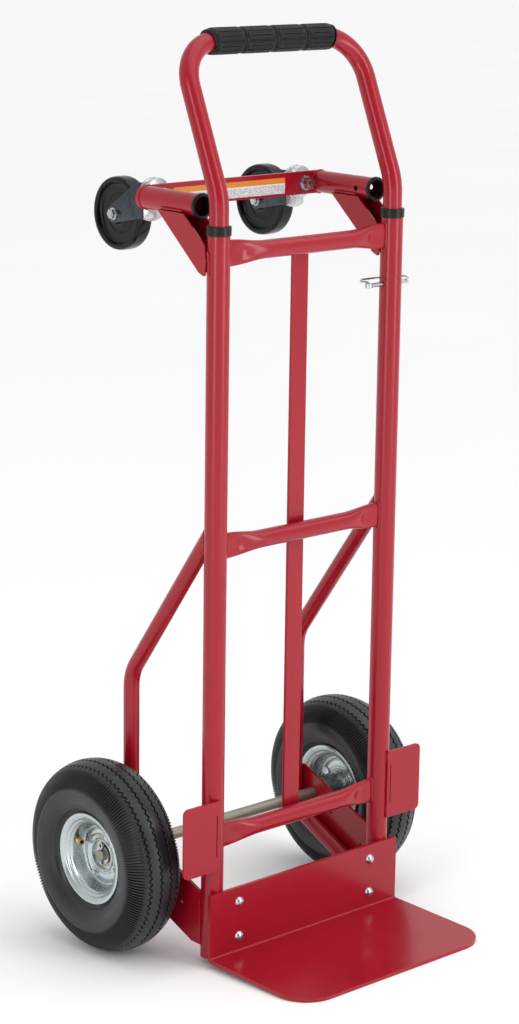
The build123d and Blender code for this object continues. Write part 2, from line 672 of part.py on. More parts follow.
def make_caster_race(side):
    """Fixed upper cup of the swivel bearing, on a foot against the rear of the caster bar."""
    neck_r, neck_t = RACE_NECK
    with BuildPart() as race:
        with BuildSketch(along_y(side * KINGPIN_X, RACE_Y[0], SOCKET_Z)):
            Circle(neck_r)
            Circle(KINGPIN_R + 0.1, mode=Mode.SUBTRACT)
        extrude(amount=neck_t)
        with BuildSketch(along_y(side * KINGPIN_X, RACE_Y[0] + neck_t, SOCKET_Z)):
            Circle(RACE_R)
            Circle(KINGPIN_R + 0.1, mode=Mode.SUBTRACT)
        extrude(amount=RACE_T - neck_t)
        rims = race.edges().filter_by(lambda edge: edge.geom_type == GeomType.CIRCLE)
        fillet(rims.filter_by(lambda edge: edge.radius > RACE_R - 0.5), 2.5)
    return race


def make_caster_fork(side):
    """Crown cup and base plate that turn on the kingpin, and two legs down to the wheel axle."""
    face_y = CROWN_Y[0] + FORK_FACE
    half = FORK_GAP + FORK_T
    with BuildPart() as fork:
        with BuildSketch(along_y(side * KINGPIN_X, CROWN_Y[0], SOCKET_Z)):
            Circle(RACE_R)
            Circle(KINGPIN_R + 0.1, mode=Mode.SUBTRACT)
        extrude(amount=CROWN_T)
        rims = fork.edges().filter_by(lambda edge: edge.geom_type == GeomType.CIRCLE)
        fillet(rims.filter_by(lambda edge: edge.radius > RACE_R - 0.5), 2)
        facing = Plane(origin=(side * KINGPIN_X, face_y, SOCKET_Z), x_dir=(1, 0, 0), z_dir=(0, -1, 0))
        with BuildSketch(facing):
            with BuildLine():
                Line((-half, FORK_TOP), (half, FORK_TOP))
                Line((half, FORK_TOP), (half, 4 - FORK_TOE))
                ThreePointArc((half, 4 - FORK_TOE), (0, -FORK_TOE), (-half, 4 - FORK_TOE))
                Line((-half, 4 - FORK_TOE), (-half, FORK_TOP))
            make_face()
            Circle(KINGPIN_R + 0.1, mode=Mode.SUBTRACT)
        extrude(amount=-FORK_T)
        for hand in SIDES.values():
            with BuildSketch(across(side * KINGPIN_X + hand * FORK_GAP)):
                with BuildLine():
                    Polyline(
                        (face_y, SOCKET_Z + FORK_TOP),
                        (face_y, SOCKET_Z + 4 - FORK_TOE),
                        (CASTER_Y - 1, CASTER_Z - 12.4),
                        (CASTER_Y + 6, CASTER_Z + 11),
                        close=True,
                    )
                make_face()
                with Locations((CASTER_Y, CASTER_Z)):
                    Circle(FORK_EYE_R)
                    Circle(CASTER_BOLT_R + 0.1, mode=Mode.SUBTRACT)
            extrude(amount=hand * FORK_T)
    return fork


def make_caster_axle(side):
    """Bolt and lock nut across the fork, with the sleeve that the wheel turns on."""
    x = side * KINGPIN_X
    outside = FORK_GAP + FORK_T
    with BuildPart() as bolt:
        with BuildSketch(across(x, CASTER_Y, CASTER_Z)):
            Circle(CASTER_BOLT_R)
        extrude(amount=outside + 6.5, both=True)
        for hand in SIDES.values():
            with BuildSketch(across(x + hand * outside, CASTER_Y, CASTER_Z)):
                Circle(CASTER_BOLT_WASHER[0])
            extrude(amount=hand * CASTER_BOLT_WASHER[1])
            with BuildSketch(across(x + hand * (outside + CASTER_BOLT_WASHER[1]), CASTER_Y, CASTER_Z)):
                RegularPolygon(CASTER_BOLT_NUT[0], 6)
            extrude(amount=hand * CASTER_BOLT_NUT[1])
        with BuildSketch(across(x, CASTER_Y, CASTER_Z)):
            Circle(CASTER_SLEEVE_R)
        extrude(amount=FORK_GAP, both=True)
    return bolt


def make_caster_wheel(side):
    """Solid wheel with a rounded tread, recessed faces and a plain bore."""
    x = side * KINGPIN_X
    hub_half = FORK_GAP - GAP
    web_half = 5.0
    half = CASTER_HALF
    outline = [
        (-hub_half, CASTER_SLEEVE_R + 0.08),
        (hub_half, CASTER_SLEEVE_R + 0.08),
        (hub_half, 11),
        (web_half + 1.5, 12.5),
        (web_half, 36),
        (half - 0.8, 39),
        (half, 41),
        (half, 45.5),
        (half - 3.5, CASTER_R),
    ]
    mirrored = [(-d, r) for d, r in outline[:1:-1]]
    with BuildPart() as wheel:
        with BuildSketch(Plane(origin=(x, CASTER_Y, CASTER_Z), x_dir=(1, 0, 0), z_dir=(0, -1, 0))):
            with BuildLine():
                Polyline(*outline, *mirrored, close=True)
            make_face()
        revolve(axis=Axis((x, CASTER_Y, CASTER_Z), (1, 0, 0)))
    return wheel


# ---------------------------------------------------------------- handle
handle_route = [
    (-UPRIGHT_X, 0, HANDLE_BOTTOM_Z),
    (-UPRIGHT_X, 0, HANDLE_KINK_Z),
    (-UPRIGHT_X, *HANDLE_TOP),
    (UPRIGHT_X, *HANDLE_TOP),
    (UPRIGHT_X, 0, HANDLE_KINK_Z),
    (UPRIGHT_X, 0, HANDLE_BOTTOM_Z),
]
with BuildPart() as handle_tube:
    with BuildLine() as handle_path:
        FilletPolyline(*handle_route, radius=(HANDLE_KINK_R, HANDLE_CORNER_R, HANDLE_CORNER_R, HANDLE_KINK_R))
    with BuildSketch(Plane.XY.offset(HANDLE_BOTTOM_Z)):
        with Locations((-UPRIGHT_X, 0)):
            Circle(HANDLE_R)
            Circle(HANDLE_BORE_R, mode=Mode.SUBTRACT)
    sweep(path=handle_path.line)
    # The lock pin's cross hole is open to the end of the right leg, as a slot.
    slot_height = PIN_Z + PIN_R - HANDLE_BOTTOM_Z
    with BuildSketch(across(UPRIGHT_X, 0, HANDLE_BOTTOM_Z)):
        with Locations((0, slot_height / 2 - 5)):
            SlotOverall(slot_height + 10 + 1.2, 2 * PIN_HOLE_R, rotation=90)
    extrude(amount=HANDLE_R + 1, both=True, mode=Mode.SUBTRACT)

handle_plane = Plane(
    origin=(0, *HANDLE_TOP),
    x_dir=(1, 0, 0),
    z_dir=(0, -cos(radians(HANDLE_LEAN)), sin(radians(HANDLE_LEAN))),
)
straight_half = UPRIGHT_X - HANDLE_CORNER_R
droop = degrees(asin((GRIP_HALF - straight_half) / HANDLE_CORNER_R))
with BuildPart() as grip:
    with BuildLine(handle_plane) as grip_path:
        Line((-straight_half, 0), (straight_half, 0))
        JernArc(start=(straight_half, 0), tangent=(1, 0), radius=HANDLE_CORNER_R, arc_size=-droop)
        JernArc(start=(-straight_half, 0), tangent=(-1, 0), radius=HANDLE_CORNER_R, arc_size=droop)
    grip_wire = grip_path.wire()
    with BuildSketch(Plane(origin=grip_wire @ 0, z_dir=grip_wire % 0)):
        Circle(GRIP_R)
        Circle(HANDLE_R, mode=Mode.SUBTRACT)
    sweep(path=grip_wire)

# ---------------------------------------------------------------- lock pin
with BuildPart() as hitch_pin:
    with BuildSketch(across(PIN_X[0], 0, PIN_Z)):
        Circle(PIN_R)
    extrude(amount=PIN_X[1] - PIN_X[0])
    chamfer(hitch_pin.edges().group_by(Axis.X)[-1], 0.8)
    with BuildSketch(Plane.XY.offset(PIN_Z - PIN_R)):
        with Locations((PIN_X[0], 0)):
            Circle(5)
            Circle(BAIL_WIRE_R + GAP, mode=Mode.SUBTRACT)
    extrude(amount=2 * PIN_R)
    with BuildSketch(Plane.XY.offset(PIN_Z - PIN_R)):
        with Locations((PIN_X[0], 0)):
            Circle(BAIL_WIRE_R + GAP)
    extrude(amount=2 * PIN_R, mode=Mode.SUBTRACT)

bail_rise = PIN_R + BAIL_WIRE_R + 0.6
bail_route = [
    (PIN_X[0], 0, PIN_Z - PIN_R - 1.5),
    (PIN_X[0], 0, PIN_Z + bail_rise),
    (PIN_X[0] - 7, 8, PIN_Z + bail_rise),
    (PIN_X[0] + 6, 21, PIN_Z + bail_rise),
    (PIN_X[1] - 6, 21, PIN_Z + bail_rise),
    (PIN_X[1] + 5, 8, PIN_Z + bail_rise),
    (PIN_X[1] - 3, -4, PIN_Z + bail_rise),
]
with BuildPart() as pin_bail:
    with BuildLine() as bail_path:
        FilletPolyline(*bail_route, radius=(2, 3, 7, 7, 5))
    with BuildSketch(Plane.XY.offset(PIN_Z - PIN_R - 1.5)):
        with Locations((PIN_X[0], 0)):
            Circle(BAIL_WIRE_R)
    sweep(path=bail_path.line)

# ---------------------------------------------------------------- write every node
for place, z in CROSSBAR_Z.items():
    save(make_crossbar(z), f"crossbar_{place}")

for hand, side in SIDES.items():
    save(make_upright(side), f"upright_{hand}")
    save(make_brace(side), f"brace_{hand}")
    save(make_axle_bracket(side), f"axle_bracket_{hand}")
    save(make_wheel_guard(side), f"wheel_guard_{hand}")
    save(make_collar(side), f"collar_{hand}")
    save(make_socket(side), f"socket_{hand}")
    save(make_socket_bush(side), f"socket_bush_{hand}")
    save(make_gusset(side), f"gusset_{hand}")
    save(make_tyre(side), f"tyre_{hand}")
    save(make_inner_tube(side), f"inner_tube_{hand}")
    save(make_rim_half(side, 1), f"rim_outer_{hand}")
    save(make_rim_half(side, -1), f"rim_inner_{hand}")
    save(make_rim_bolts(side), f"rim_bolts_{hand}")
    save(make_hub(side), f"hub_{hand}")
    save(make_bearings(side), f"bearings_{hand}")
    save(make_valve_stem(side), f"valve_stem_{hand}")
    save(make_caster_race(side), f"caster_race_{hand}")
    save(make_caster_fork(side), f"caster_fork_{hand}")
    save(make_caster_axle(side), f"caster_axle_{hand}")
    save(make_caster_wheel(side), f"caster_wheel_{hand}")

save(centre_strap, "centre_strap")
save(toe_plate, "toe_plate")
save(toe_tabs, "toe_tabs")
save(toe_bolts, "toe_bolts")
save(toe_nuts, "toe_nuts")
save(axle, "axle")
save(axle_washers, "axle_washers")
save(cotter_pins, "cotter_pins")
save(caster_bar, "caster_bar")
save(label_plate, "label_plate")
save(kingpins, "kingpins")
save(handle_tube, "handle_tube")
save(grip, "grip")
save(hitch_pin, "hitch_pin")
save(pin_bail, "pin_bail")
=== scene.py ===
import json
import math

import bmesh
import bpy
from mathutils import Matrix, Vector


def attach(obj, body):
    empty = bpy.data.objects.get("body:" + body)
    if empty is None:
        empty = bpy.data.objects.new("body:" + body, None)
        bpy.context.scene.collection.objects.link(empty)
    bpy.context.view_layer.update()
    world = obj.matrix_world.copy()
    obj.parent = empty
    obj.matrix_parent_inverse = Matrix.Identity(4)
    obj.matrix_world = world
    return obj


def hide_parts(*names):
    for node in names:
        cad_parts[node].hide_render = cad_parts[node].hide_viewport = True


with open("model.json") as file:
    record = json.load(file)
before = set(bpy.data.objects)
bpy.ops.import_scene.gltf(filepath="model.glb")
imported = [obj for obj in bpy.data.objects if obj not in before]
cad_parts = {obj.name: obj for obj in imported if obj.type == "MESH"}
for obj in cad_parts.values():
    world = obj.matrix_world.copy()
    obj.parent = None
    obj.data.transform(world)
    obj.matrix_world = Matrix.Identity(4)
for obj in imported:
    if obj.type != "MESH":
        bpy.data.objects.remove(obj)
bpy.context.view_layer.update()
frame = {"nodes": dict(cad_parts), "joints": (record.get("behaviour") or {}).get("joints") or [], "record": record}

# ---------------------------------------------------------------- the truck's own frame
# Pieces are drawn in millimetres with the uprights vertical, as in the CAD part, then stood up
# in the row frame.  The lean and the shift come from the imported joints.
JOINTS = {joint["name"]: joint for joint in frame["joints"]}
NODES = frame["nodes"]
SIDES = {"left": -1, "right": 1}
MM = 0.001
WHEEL_X, AXLE_Y, AXLE_Z = 221.0, 143.2, 132.0
lift_axis = Vector(JOINTS["handle_lift"]["axis"])
lean = Matrix.Rotation(math.atan2(-lift_axis.y, lift_axis.z), 4, "X")
axle_place = Vector(JOINTS["wheel_spin_right"]["pos_m"])
shift = axle_place - lean @ (Vector((WHEEL_X, AXLE_Y, AXLE_Z)) * MM)
OWN = Matrix.Translation(shift) @ lean @ Matrix.Scale(MM, 4)

UPRIGHT_X, UPRIGHT_R = 152.4, 15.0
CROSSBAR_Z = {"bottom": 181.2, "middle": 578.7, "top": 960.5}
SOCKET_Z = 1018.0
BAR_Y = (142.5, 147.5)
KINGPIN_X = 126.0
CASTER_Y, CASTER_Z = 225.5, 987.0
LABEL_SIZE = (196.0, 21.5)
LABEL_X, LABEL_Z = -10.0, SOCKET_Z - 1.5


# ---------------------------------------------------------------- materials
def new_material(name):
    mat = bpy.data.materials.new(name)
    mat.use_nodes = True
    nodes, links = mat.node_tree.nodes, mat.node_tree.links
    shader = nodes["Principled BSDF"]
    coord = nodes.new("ShaderNodeTexCoord")
    return mat, nodes, links, shader, coord.outputs["Object"]


def noise(nodes, links, coord, scale, detail=3.0, rough=0.55, stretch=None):
    tex = nodes.new("ShaderNodeTexNoise")
    tex.inputs["Scale"].default_value = scale
    tex.inputs["Detail"].default_value = detail
    tex.inputs["Roughness"].default_value = rough
    if stretch:
        mapping = nodes.new("ShaderNodeMapping")
        mapping.inputs["Scale"].default_value = stretch
        links.new(coord, mapping.inputs["Vector"])
        coord = mapping.outputs["Vector"]
    links.new(coord, tex.inputs["Vector"])
    return tex.outputs["Fac"]


def ramp(nodes, links, value, stops):
    node = nodes.new("ShaderNodeValToRGB")
    while len(node.color_ramp.elements) < len(stops):
        node.color_ramp.elements.new(0.5)
    for element, (place, colour) in zip(node.color_ramp.elements, stops):
        element.position = place
        element.color = (*colour, 1.0) if len(colour) == 3 else colour
    links.new(value, node.inputs["Fac"])
    return node.outputs["Color"]


def spread(nodes, links, value, low, high, start=0.3, end=0.7):
    node = nodes.new("ShaderNodeMapRange")
    node.inputs["From Min"].default_value = start
    node.inputs["From Max"].default_value = end
    node.inputs["To Min"].default_value = low
    node.inputs["To Max"].default_value = high
    links.new(value, node.inputs["Value"])
    return node.outputs["Result"]


def bump(nodes, links, shader, value, strength, distance, after=None):
    node = nodes.new("ShaderNodeBump")
    node.inputs["Strength"].default_value = strength
    node.inputs["Distance"].default_value = distance
    links.new(value, node.inputs["Height"])
    if after is not None:
        links.new(after, node.inputs["Normal"])
    links.new(node.outputs["Normal"], shader.inputs["Normal"])
    return node.outputs["Normal"]


def finish_material(name, tints, metallic, roughness, scale=9.0, rough_scale=60.0, grain=None, coat=None,
                    stretch=None, fine=None, gloss=0.5):
    """Mottled colour between tints, roughness between two values, and up to two scales of grain."""
    mat, nodes, links, shader, coord = new_material(name)
    mottling = noise(nodes, links, coord, scale, 4.0, 0.6, stretch)
    stops = [(0.3 + 0.4 * i / (len(tints) - 1), tint) for i, tint in enumerate(tints)]
    links.new(ramp(nodes, links, mottling, stops), shader.inputs["Base Color"])
    wear = noise(nodes, links, coord, rough_scale, 3.0, 0.6, stretch)
    links.new(spread(nodes, links, wear, *roughness), shader.inputs["Roughness"])
    shader.inputs["Metallic"].default_value = metallic
    shader.inputs["Specular IOR Level"].default_value = gloss
    if coat:
        shader.inputs["Coat Weight"].default_value = coat[0]
        shader.inputs["Coat Roughness"].default_value = coat[1]
    normal = None
    for grain_scale, strength, distance in filter(None, (grain, fine)):
        height = noise(nodes, links, coord, grain_scale, 2.0, 0.5, stretch)
        normal = bump(nodes, links, shader, height, strength, distance, normal)
    return mat


RED = finish_material(
    "red_paint", [(0.315, 0.0030, 0.0135), (0.335, 0.0038, 0.0155), (0.350, 0.0046, 0.0175)], 0.0, (0.20, 0.27),
    scale=5.0, rough_scale=35.0, grain=(420.0, 0.025, 0.0003), coat=(0.10, 0.10),
    fine=(1500.0, 0.012, 0.0002), gloss=0.38)
ZINC = finish_material(
    "zinc", [(0.40, 0.43, 0.47), (0.55, 0.575, 0.59), (0.48, 0.50, 0.51)], 1.0, (0.18, 0.32),
    scale=70.0, rough_scale=150.0, grain=(500.0, 0.06, 0.0004), fine=(2200.0, 0.04, 0.0002))
RIM = finish_material(
    "rim_zinc", [(0.50, 0.555, 0.565), (0.56, 0.61, 0.62), (0.53, 0.58, 0.59)], 1.0, (0.20, 0.32),
    scale=26.0, rough_scale=60.0, grain=(260.0, 0.02, 0.0004), fine=(1800.0, 0.02, 0.0002))
STEEL = finish_material(
    "steel", [(0.23, 0.215, 0.18), (0.33, 0.315, 0.27), (0.28, 0.262, 0.215)], 0.85, (0.34, 0.52),
    scale=14.0, rough_scale=80.0, grain=(900.0, 0.12, 0.0004), stretch=(0.12, 1.0, 1.0),
    fine=(2600.0, 0.08, 0.0002))
BEARING = finish_material(
    "bearing_steel", [(0.36, 0.31, 0.19), (0.50, 0.45, 0.31), (0.42, 0.38, 0.27)], 0.9, (0.25, 0.42),
    scale=60.0, rough_scale=120.0, grain=(800.0, 0.08, 0.0003))
TYRE = finish_material(
    "tyre_rubber", [(0.007, 0.009, 0.012), (0.011, 0.014, 0.018), (0.016, 0.019, 0.025)], 0.0, (0.28, 0.42),
    scale=16.0, rough_scale=50.0, grain=(650.0, 0.18, 0.0006), fine=(2400.0, 0.10, 0.0003), gloss=0.5)
TUBE_RUBBER = finish_material(
    "inner_tube_rubber", [(0.014, 0.014, 0.014), (0.022, 0.022, 0.022)], 0.0, (0.5, 0.65),
    grain=(500.0, 0.1, 0.0005))
BRASS = finish_material(
    "brass", [(0.42, 0.29, 0.09), (0.58, 0.43, 0.17), (0.50, 0.36, 0.13)], 1.0, (0.22, 0.38),
    scale=180.0, rough_scale=260.0, grain=(1200.0, 0.1, 0.0003))
PLASTIC = finish_material(
    "black_plastic", [(0.004, 0.004, 0.005), (0.008, 0.008, 0.009)], 0.0, (0.28, 0.40),
    scale=40.0, rough_scale=120.0, grain=(1400.0, 0.06, 0.0003), gloss=0.3)
VINYL = finish_material(
    "grip_vinyl", [(0.003, 0.004, 0.005), (0.006, 0.007, 0.008), (0.009, 0.010, 0.011)], 0.0, (0.30, 0.42),
    scale=30.0, rough_scale=90.0, grain=(1100.0, 0.12, 0.0004), fine=(3000.0, 0.06, 0.0002), gloss=0.27)
# Darker copy of the zinc for the caster legs: a painted dark reflection on the leg faces, the same metal as the
# bright base plate.
ZINC_PAINTED_DARK_REFLECTION = finish_material(
    "zinc_painted_dark_reflection", [(0.040, 0.048, 0.060), (0.070, 0.080, 0.095), (0.055, 0.064, 0.078)], 1.0, (0.15, 0.28),
    scale=60.0, rough_scale=120.0, grain=(500.0, 0.04, 0.0003))
TREAD = finish_material(
    "caster_rubber", [(0.0015, 0.0018, 0.0022), (0.003, 0.0033, 0.004)], 0.0, (0.10, 0.19),
    scale=30.0, rough_scale=60.0, grain=(700.0, 0.03, 0.0003), gloss=0.27)


PAPER = (0.70, 0.71, 0.72)
BAND = (0.66, 0.22, 0.025)
INK = (0.13, 0.14, 0.16, 1.0)
BAND_START = 0.66            # heights on the film, from 0 at its lower edge to 1
RULED_TOP = 0.6
RULES = 15                   # rows of rules that would fill the film's whole height
RULE_BREAKS = 70.0


def label_material():
    """Printed film: an orange band over a pale panel with plain grey rules in place of any wording."""
    mat, nodes, links, shader, _ = new_material("label_film")
    uv = nodes.new("ShaderNodeUVMap")
    uv.uv_map = "film"
    split = nodes.new("ShaderNodeSeparateXYZ")
    links.new(uv.outputs["UV"], split.inputs["Vector"])
    bands = ramp(nodes, links, split.outputs["Y"],
                 [(0.0, PAPER), (BAND_START - 0.005, PAPER), (BAND_START, BAND)])
    rows = nodes.new("ShaderNodeMath")
    rows.operation = "SINE"
    height = nodes.new("ShaderNodeMath")
    height.operation = "MULTIPLY"
    height.inputs[1].default_value = 2 * math.pi * RULES
    links.new(split.outputs["Y"], height.inputs[0])
    links.new(height.outputs[0], rows.inputs[0])
    words = nodes.new("ShaderNodeTexNoise")
    words.noise_dimensions = "2D"
    words.inputs["Scale"].default_value = 1.0
    words.inputs["Detail"].default_value = 1.0
    mapping = nodes.new("ShaderNodeMapping")
    mapping.inputs["Scale"].default_value = (RULE_BREAKS, RULES, 1.0)
    links.new(uv.outputs["UV"], mapping.inputs["Vector"])
    links.new(mapping.outputs["Vector"], words.inputs["Vector"])
    line = spread(nodes, links, rows.outputs[0], 0.0, 1.0, 0.1, 0.4)
    word = spread(nodes, links, words.outputs["Fac"], 0.0, 1.0, 0.42, 0.5)
    panel = nodes.new("ShaderNodeMath")
    panel.operation = "LESS_THAN"
    panel.inputs[1].default_value = RULED_TOP
    links.new(split.outputs["Y"], panel.inputs[0])
    ink = nodes.new("ShaderNodeMath")
    ink.operation = "MULTIPLY"
    links.new(line, ink.inputs[0])
    links.new(word, ink.inputs[1])
    on_panel = nodes.new("ShaderNodeMath")
    on_panel.operation = "MULTIPLY"
    links.new(ink.outputs[0], on_panel.inputs[0])
    links.new(panel.outputs[0], on_panel.inputs[1])
    print_mix = nodes.new("ShaderNodeMix")
    print_mix.data_type = "RGBA"
    print_mix.inputs["B"].default_value = INK
    links.new(on_panel.outputs[0], print_mix.inputs["Factor"])
    links.new(bands, print_mix.inputs["A"])
    links.new(print_mix.outputs["Result"], shader.inputs["Base Color"])
    shader.inputs["Roughness"].default_value = 0.28
    return mat


LABEL = label_material()
SLOT_FINISH = {
    "red_paint": RED, "zinc": ZINC, "steel": STEEL, "rim_zinc": RIM, "tyre": TYRE, "inner_tube": TUBE_RUBBER,
    "brass": BRASS, "black_plastic": PLASTIC, "grip": VINYL, "caster_tread": TREAD, "label": LABEL,
}
for part in frame["record"]["subparts"]:
    node = NODES[part["node"]]
    node.data.materials.clear()
    node.data.materials.append(SLOT_FINISH[part["material_slot"]])
for hand in SIDES:
    NODES[f"bearings_{hand}"].data.materials[0] = BEARING


# ---------------------------------------------------------------- mesh helpers
def piece(name, bm, body, slot, finish=None, replaces=(), sharp=40.0):
    """Turn a bmesh drawn in the truck's own frame into a piece that rides on a body."""
    bmesh.ops.remove_doubles(bm, verts=bm.verts, dist=0.002)
    bmesh.ops.recalc_face_normals(bm, faces=bm.faces)
    mesh = bpy.data.meshes.new(name)
    bm.to_mesh(mesh)
    bm.free()
    mesh.transform(OWN)
    mesh.materials.append(finish or SLOT_FINISH[slot])
    mesh.shade_smooth()
    mesh.set_sharp_from_angle(angle=math.radians(sharp))
    obj = bpy.data.objects.new(name, mesh)
    bpy.context.scene.collection.objects.link(obj)
    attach(obj, body)
    if replaces:
        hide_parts(*replaces)


def soften(points, radius, steps=4, closed=True):
    """Round each corner of an outline of (a, b) points with a short curve."""
    count = len(points)
    radii = radius if isinstance(radius, (list, tuple)) else [radius] * count
    out = []
    for i, corner in enumerate(points):
        if not closed and i in (0, count - 1):
            out.append(tuple(corner))
            continue
        p, before, after = Vector(corner), Vector(points[i - 1]), Vector(points[(i + 1) % count])
        reach = min(radii[i], 0.48 * (p - before).length, 0.48 * (after - p).length)
        if reach < 0.01:
            out.append(tuple(corner))
            continue
        a, b = p + (before - p).normalized() * reach, p + (after - p).normalized() * reach
        for k in range(steps + 1):
            t = k / steps
            out.append(tuple(a * (1 - t) ** 2 + p * 2 * t * (1 - t) + b * t ** 2))
    return out


def lathe(bm, profile, centre, axis, steps, closed=True):
    """Spin (along, radius) points about an axis through centre."""
    axis = Vector(axis).normalized()
    helper = Vector((0, 0, 1)) if abs(axis.z) < 0.9 else Vector((0, 1, 0))
    u = axis.cross(helper).normalized()
    v = axis.cross(u)
    centre = Vector(centre)
    rings = []
    for j in range(steps):
        angle = 2 * math.pi * j / steps
        spoke = u * math.cos(angle) + v * math.sin(angle)
        rings.append([bm.verts.new(centre + axis * a + spoke * r) for a, r in profile])
    span = len(profile) if closed else len(profile) - 1
    for j in range(steps):
        here, there = rings[j], rings[(j + 1) % steps]
        for i in range(span):
            k = (i + 1) % len(profile)
            corners = (here[i], here[k], there[k], there[i])
            if profile[i][1] < 1e-6 and profile[k][1] < 1e-6:
                continue
            bm.faces.new(corners)
    return bm


def slab(bm, outline, origin, u, v, thickness, bevel=0.4):
    """Extrude an outline of (u, v) points both ways by half the thickness, with softened edges."""
    origin, u, v = Vector(origin), Vector(u).normalized(), Vector(v).normalized()
    n = u.cross(v)
    half = thickness / 2
    levels = [(-half, bevel), (-half + bevel * 0.3, bevel * 0.3), (-half + bevel, 0.0),
              (half - bevel, 0.0), (half - bevel * 0.3, bevel * 0.3), (half, bevel)]
    count = len(outline)
    inward = []
    for i in range(count):
        a, p, b = (Vector(outline[k % count]) for k in (i - 1, i, i + 1))
        edge_in, edge_out = (p - a).normalized(), (b - p).normalized()
        tangent = (edge_in + edge_out).normalized()
        inward.append(Vector((-tangent.y, tangent.x)))
    area = sum(outline[i - 1][0] * outline[i][1] - outline[i][0] * outline[i - 1][1] for i in range(count))
    turn = 1 if area > 0 else -1
    rings = []
    for height, inset in levels:
        ring = []
        for (pu, pv), into in zip(outline, inward):
            place_u, place_v = pu + into.x * inset * turn, pv + into.y * inset * turn
            ring.append(bm.verts.new(origin + u * place_u + v * place_v + n * height))
        rings.append(ring)
    for low, high in zip(rings, rings[1:]):
        for i in range(count):
            bm.faces.new((low[i - 1], low[i], high[i], high[i - 1]))
    bm.faces.new(rings[0][::-1])
    bm.faces.new(rings[-1])
    return bm


def tube(bm, points, radius, sides=10, closed=False):
    """Sweep a circle along points; radius is a number or a function of the distance along."""
    pts = [Vector(p) for p in points]
    count = len(pts)
    up = None
    rings, travelled = [], 0.0
    for i, p in enumerate(pts):
        before = pts[i - 1] if (i or closed) else p
        after = pts[(i + 1) % count] if (i < count - 1 or closed) else p
        along = (after - before).normalized()
        if up is None:
            up = along.orthogonal().normalized()
        up = (up - along * up.dot(along)).normalized()
        side = along.cross(up)
        if i:
            travelled += (p - pts[i - 1]).length
        r = radius(travelled) if callable(radius) else radius
        rings.append([bm.verts.new(p + (up * math.cos(t) + side * math.sin(t)) * r)
                      for t in (2 * math.pi * k / sides for k in range(sides))])
    for i in range(count if closed else count - 1):
        here, there = rings[i], rings[(i + 1) % count]
        if closed and i == count - 1:
            offset = min(range(sides), key=lambda s: (here[0].co - there[s].co).length)
        else:
            offset = 0
        for k in range(sides):
            n = (k + 1) % sides
            bm.faces.new((here[k], here[n], there[(n + offset) % sides], there[(k + offset) % sides]))
    if not closed:
        bm.faces.new(rings[0][::-1])
        bm.faces.new(rings[-1])
    return bm


def join_rings(bm, rings):
    """Skin a closed run of rings that have the same number of points."""
    for i, here in enumerate(rings):
        there = rings[(i + 1) % len(rings)]
        for k in range(len(here)):
            n = (k + 1) % len(here)
            bm.faces.new((here[k], here[n], there[n], there[k]))


def arc_through(a, b, c, steps):
    """Points on the circle through three (x, y) points, from a by b to c."""
    (ax, ay), (bx, by), (cx, cy) = a, b, c
    d = 2 * (ax * (by - cy) + bx * (cy - ay) + cx * (ay - by))
    ux = ((ax**2 + ay**2) * (by - cy) + (bx**2 + by**2) * (cy - ay) + (cx**2 + cy**2) * (ay - by)) / d
    uy = ((ax**2 + ay**2) * (cx - bx) + (bx**2 + by**2) * (ax - cx) + (cx**2 + cy**2) * (bx - ax)) / d
    r = math.hypot(ax - ux, ay - uy)
    t0, t1, t2 = (math.atan2(y - uy, x - ux) for x, y in (a, b, c))
    turn = (t2 - t0) % (2 * math.pi)
    if (t1 - t0) % (2 * math.pi) > turn:
        turn -= 2 * math.pi
    return [(ux + r * math.cos(t0 + turn * k / steps), uy + r * math.sin(t0 + turn * k / steps))
            for k in range(steps + 1)]


# ---------------------------------------------------------------- tyres
ZIGZAGS = 90                 # zigzag waves round the tread; two shoulder ribs to each
STATIONS = 8 * ZIGZAGS
GROOVES = (-22.5, -8.0, 8.0, 22.5)
GROOVE_HALF = 1.3
GROOVE_DEPTH = 3.2
WAVE = 1.7
RIB_DEPTH = 2.4
TREAD_R = 52.1               # radius of the tread's crown across the tyre
TYRE_R = 132.0
SIDEWALL = ((27.2, 65.5), (41, 93), (30, 122.5))     # (distance from the middle, radius)
SHOULDER = (25.0, 30.0)      # where the shoulder ribs run out on the tread
RIB_START = (97.5, 100.5)    # radii where the ribs fade in on the sidewall
RINGS = ((95.5, 0.9, 0.7), (70.5, 1.0, 0.8))         # radius, width and height of the moulded rings
INSIDE = ((-25.2, 59.5), (-23.6, 52.8), (-18, 50.6), (-15.5, 61), (-28, 74), (-34.5, 91), (-32, 104), (-25, 115),
          (0, 122.5), (25, 115), (32, 104), (34.5, 91), (28, 74), (15.5, 61), (18, 50.6), (23.6, 52.8),
          (25.2, 59.5))


def tread_radius(d):
    return TYRE_R - TREAD_R + math.sqrt(TREAD_R**2 - d**2)


def tyre_rows():
    """Outline rows as (d, radius, depth, role), from one bead over the tread to the other."""
    rows = []
    sidewall = arc_through(*SIDEWALL, 44)
    for d, r in sidewall[:-1]:
        rows.append((d, r, 0.0, "side"))
    tread = [(30.0, 0.0), (28.5, 0.0), (26.6, 0.0)]
    for groove in reversed(GROOVES):
        tread += [(groove + GROOVE_HALF + 0.5, 0.0), (groove + GROOVE_HALF, 0.35),
                  (groove + GROOVE_HALF - 0.5, GROOVE_DEPTH), (groove - GROOVE_HALF + 0.5, GROOVE_DEPTH),
                  (groove - GROOVE_HALF, 0.35), (groove - GROOVE_HALF - 0.5, 0.0)]
        if groove != GROOVES[0]:
            middle = (groove + GROOVES[GROOVES.index(groove) - 1]) / 2
            tread += [(middle + 2.6, 0.0), (middle, 0.0), (middle - 2.6, 0.0)]
    tread += [(-26.6, 0.0), (-28.5, 0.0), (-30.0, 0.0)]
    rows += [(d, tread_radius(d), depth, "tread") for d, depth in tread]
    rows += [(-d, r, 0.0, "side") for d, r in reversed(sidewall[:-1])]
    rows += [(d, r, 0.0, "inside") for d, r in INSIDE]
    return rows


